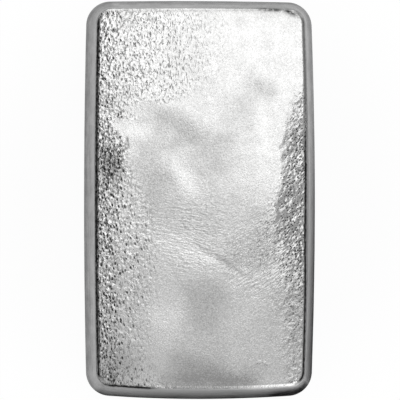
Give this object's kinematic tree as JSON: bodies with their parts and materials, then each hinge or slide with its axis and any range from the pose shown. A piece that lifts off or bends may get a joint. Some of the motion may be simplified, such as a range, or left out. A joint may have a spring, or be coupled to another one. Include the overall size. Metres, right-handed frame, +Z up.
{
  "type": "cast silver bar",
  "caption": "Low cast silver bar with leaning satin walls, bowed sides, round corners and a bright rough mould face on top; bullion stock that lies flat or stacks.",
  "frame": {"origin": "on the floor plane under the middle of the bar, at the centre of its box", "axes": "+Z up out of the mould face, +Y along the bar towards its head, +X across it to the right of the picture"},
  "size_m": [0.0476, 0.082, 0.0082],
  "materials": {
    "cast_silver": "bright as-cast fine silver, orange-peel texture on the mould face, satin grey mould skin on the walls"
  },
  "bodies": {
    "root": {"silver_bar": "cast_silver"}
  },
  "joints": []
}
